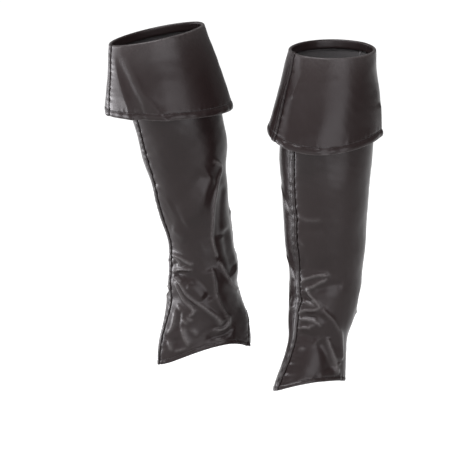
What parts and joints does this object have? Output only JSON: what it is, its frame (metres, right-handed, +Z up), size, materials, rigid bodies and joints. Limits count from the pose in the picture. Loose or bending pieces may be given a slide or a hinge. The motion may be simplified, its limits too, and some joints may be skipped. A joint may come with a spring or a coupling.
{
  "type": "pair of boot covers",
  "caption": "Pair of black leatherette boot covers held open as worn: seamed, creased shafts flared over the instep and vented at the heel, with wide turned-down cuffs.",
  "frame": {"origin": "midway between the top folds of the two covers, where the wearer's legs hold them", "axes": "+Z up along the legs, -Y to the wearer's front, +X to the wearer's left"},
  "size_m": [0.3579, 0.3476, 0.5428],
  "materials": {
    "leatherette": "smooth black coated cloth with a satin sheen and soft creases",
    "seam_strip": "the same coated cloth, pressed flat and stitched along both edges"
  },
  "bodies": {
    "root": {"left_shaft_outer": "leatherette", "left_shaft_inner": "leatherette", "left_shaft_strip": "seam_strip", "left_cuff_outer": "leatherette", "left_cuff_inner": "leatherette", "left_cuff_strip": "seam_strip", "right_shaft_outer": "leatherette", "right_shaft_inner": "leatherette", "right_shaft_strip": "seam_strip", "right_cuff_outer": "leatherette", "right_cuff_inner": "leatherette", "right_cuff_strip": "seam_strip"}
  },
  "joints": []
}
